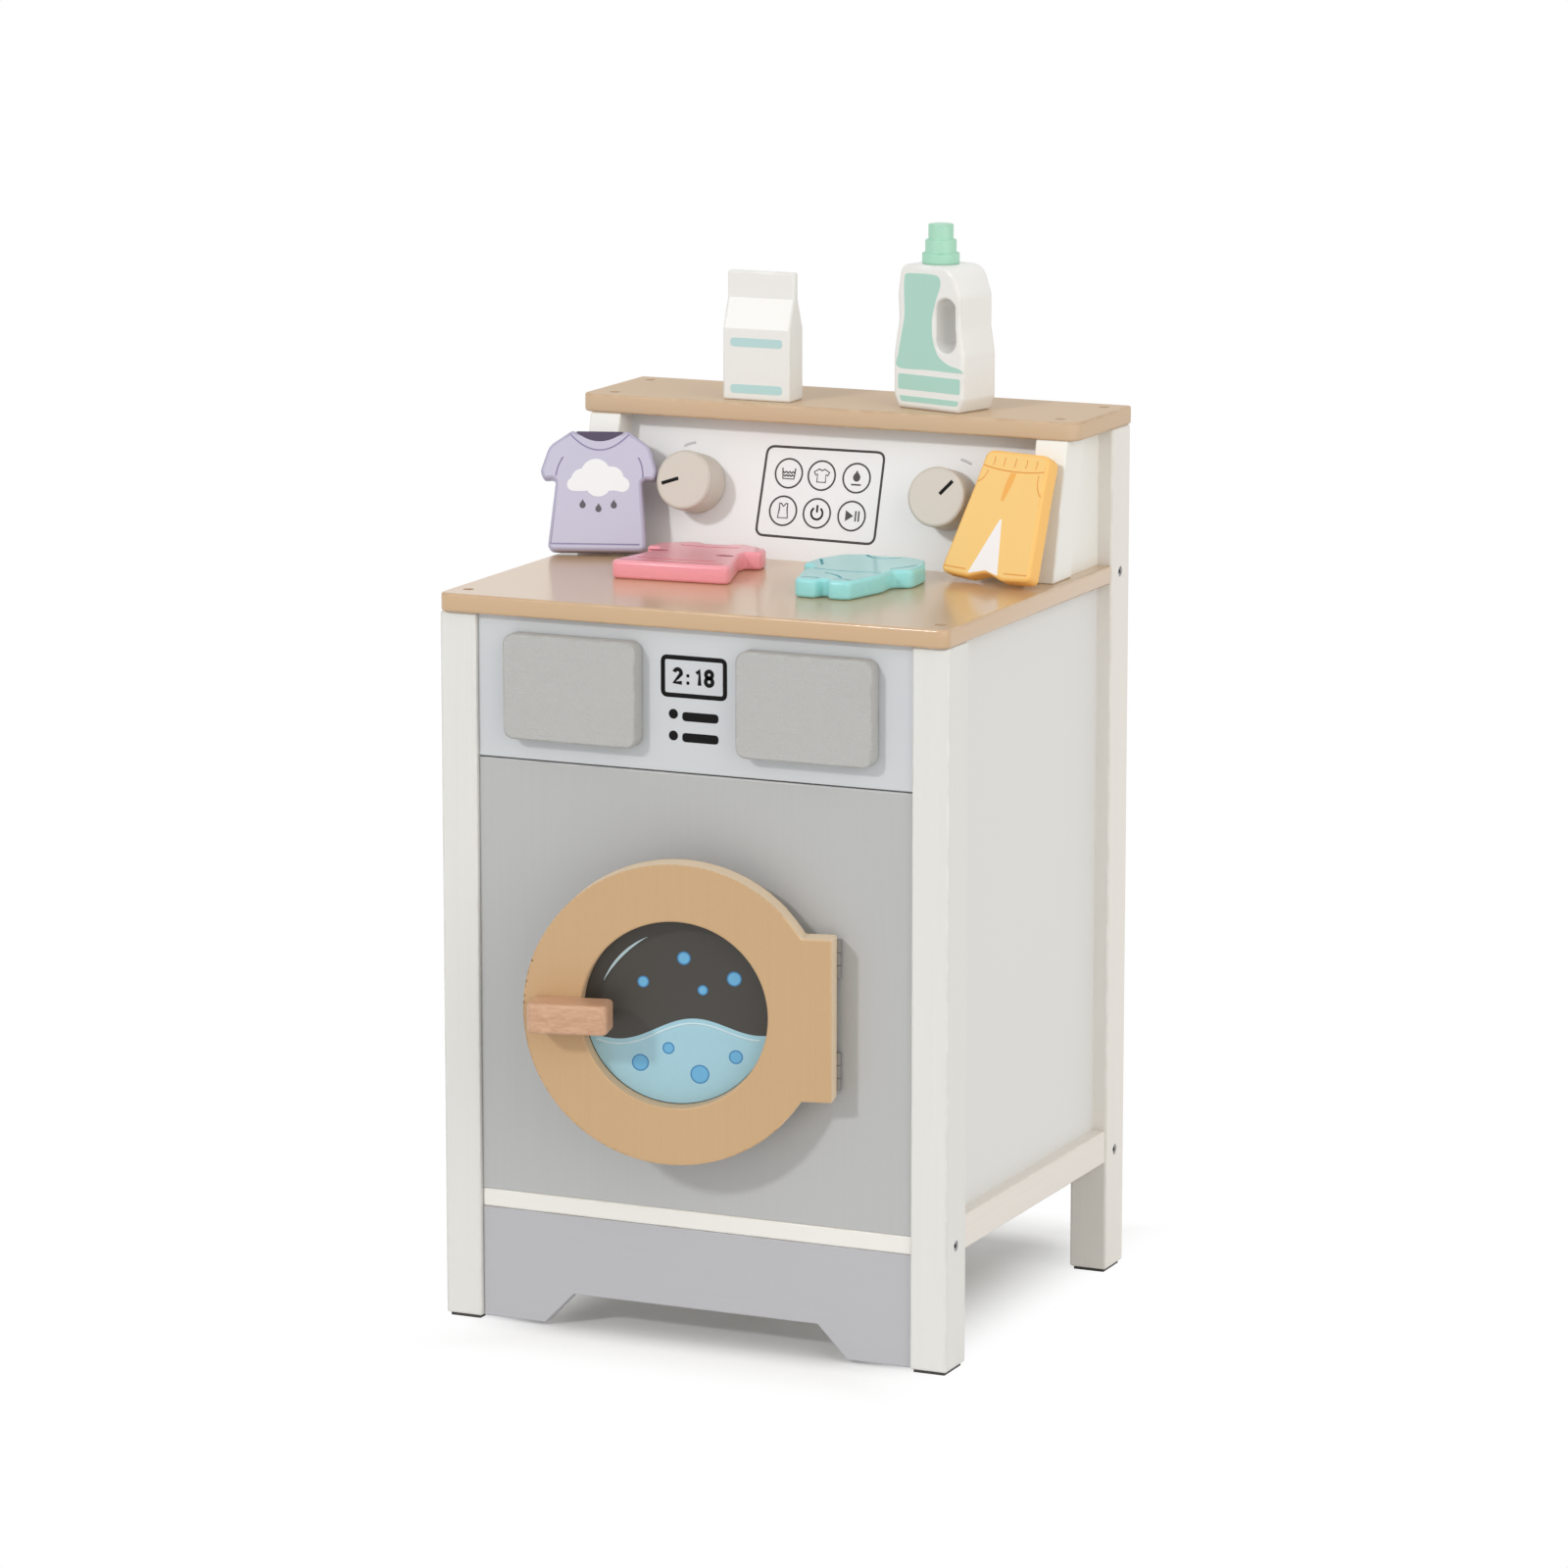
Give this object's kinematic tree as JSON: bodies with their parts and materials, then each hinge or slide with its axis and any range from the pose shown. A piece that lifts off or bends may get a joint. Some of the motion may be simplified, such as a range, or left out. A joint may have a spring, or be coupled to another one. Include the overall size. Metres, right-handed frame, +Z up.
{
  "type": "toy washing machine",
  "caption": "Painted wooden play washing machine with a round hinged door, drawers, turning knobs, a rear shelf and loose wooden laundry pieces.",
  "frame": {"origin": "on the ground under the middle of the whole set's box, with the door ajar and the play pieces in place", "axes": "+Z up, the front faces -Y, the user's right is +X"},
  "size_m": [0.3664, 0.3878, 0.6945],
  "materials": {
    "white_paint": "satin white paint on solid wood and board",
    "control_paint": "satin white paint on board, printed",
    "felt": "dark felt",
    "plinth_paint": "satin grey paint on board",
    "grey_paint": "satin grey paint on board",
    "fascia_paint": "satin pale grey-blue paint on board, printed",
    "plywood": "clear-coated birch plywood",
    "tan_paint": "satin tan paint on board",
    "ring_paint": "satin tan paint on board",
    "window_print": "printed board, dark with pale blue water",
    "beech": "clear-coated beech",
    "steel": "zinc-plated steel",
    "magnet_case": "moulded plastic with a magnet inside",
    "plate_paint": "matt grey paint on board",
    "knob_paint": "satin taupe paint on solid wood",
    "lavender_paint": "satin paint on board, printed",
    "yellow_paint": "satin paint on board",
    "pink_paint": "satin paint on board",
    "teal_paint": "satin paint on board",
    "carton_paint": "white paint on solid wood, printed",
    "bottle_paint": "white paint on solid wood, printed",
    "mint_paint": "satin mint paint on turned wood"
  },
  "bodies": {
    "case": {"post_front_left": "white_paint", "post_front_right": "white_paint", "post_back_left": "white_paint", "post_back_right": "white_paint", "foot_pads": "felt", "side_rail_left": "white_paint", "side_rail_right": "white_paint", "side_panel_left": "white_paint", "side_panel_right": "white_paint", "floor_board": "white_paint", "plinth_panel": "plinth_paint", "front_panel": "grey_paint", "fascia_panel": "fascia_paint", "back_panel": "white_paint", "runner_shelf": "plywood", "drawer_guides": "plywood", "countertop": "tan_paint", "riser_stile_left": "white_paint", "riser_stile_right": "white_paint", "riser_side_left": "white_paint", "riser_side_right": "white_paint", "control_panel": "control_paint", "top_shelf": "tan_paint", "counter_screws": "steel", "shelf_screws": "steel", "side_bolts": "steel", "door_magnet": "magnet_case", "hinge_leaves_fixed": "steel", "hinge_pins": "steel", "hinge_screws_fixed": "steel"},
    "door": {"door_ring": "ring_paint", "door_window": "window_print", "door_handle": "beech", "handle_screws": "steel", "door_strike": "steel", "hinge_leaves_door": "steel", "hinge_screws_door": "steel"},
    "drawer_left": {"drawer_front_left": "plate_paint", "drawer_walls_left": "plywood", "drawer_floor_left": "plywood", "drawer_rear_left": "plywood"},
    "drawer_right": {"drawer_front_right": "plate_paint", "drawer_walls_right": "plywood", "drawer_floor_right": "plywood", "drawer_rear_right": "plywood"},
    "knob_l": {"knob_left": "knob_paint", "knob_dowel_left": "beech"},
    "knob_r": {"knob_right": "knob_paint", "knob_dowel_right": "beech"},
    "shirt": {"play_shirt": "lavender_paint"},
    "trousers": {"play_trousers": "yellow_paint"},
    "dress": {"play_dress": "pink_paint"},
    "romper": {"play_romper": "teal_paint"},
    "carton": {"powder_carton": "carton_paint"},
    "bottle": {"bottle_body": "bottle_paint", "bottle_cap": "mint_paint"}
  },
  "joints": [
    {"name": "door_hinge", "type": "hinge", "parent": "case", "child": "door", "pos_m": [0.10748, -0.10554, 0.225], "axis": [0, 0, 1], "range_deg": [-13.7, 81.3]},
    {"name": "drawer_left_slide", "type": "slide", "parent": "case", "child": "drawer_left", "axis": [0, -1, 0], "range_m": [0, 0.08]},
    {"name": "drawer_right_slide", "type": "slide", "parent": "case", "child": "drawer_right", "axis": [0, -1, 0], "range_m": [0, 0.08]},
    {"name": "knob_left_turn", "type": "hinge", "parent": "case", "child": "knob_l", "pos_m": [-0.08702, 0.10794, 0.5186], "axis": [0, -0.9703, 0.2419], "continuous": true},
    {"name": "knob_right_turn", "type": "hinge", "parent": "case", "child": "knob_r", "pos_m": [0.09168, 0.10794, 0.5186], "axis": [0, -0.9703, 0.2419], "continuous": true},
    {"name": "shirt_off", "type": "slide", "parent": "case", "child": "shirt", "axis": [0, -1, 0], "range_m": [0, 0.12]},
    {"name": "trousers_off", "type": "slide", "parent": "case", "child": "trousers", "axis": [0, -1, 0], "range_m": [0, 0.12]},
    {"name": "dress_lift", "type": "slide", "parent": "case", "child": "dress", "axis": [0, 0, 1], "range_m": [0, 0.06]},
    {"name": "romper_lift", "type": "slide", "parent": "case", "child": "romper", "axis": [0, 0, 1], "range_m": [0, 0.06]},
    {"name": "carton_lift", "type": "slide", "parent": "case", "child": "carton", "axis": [0, 0, 1], "range_m": [0, 0.1]},
    {"name": "bottle_lift", "type": "slide", "parent": "case", "child": "bottle", "axis": [0, 0, 1], "range_m": [0, 0.1]}
  ]
}
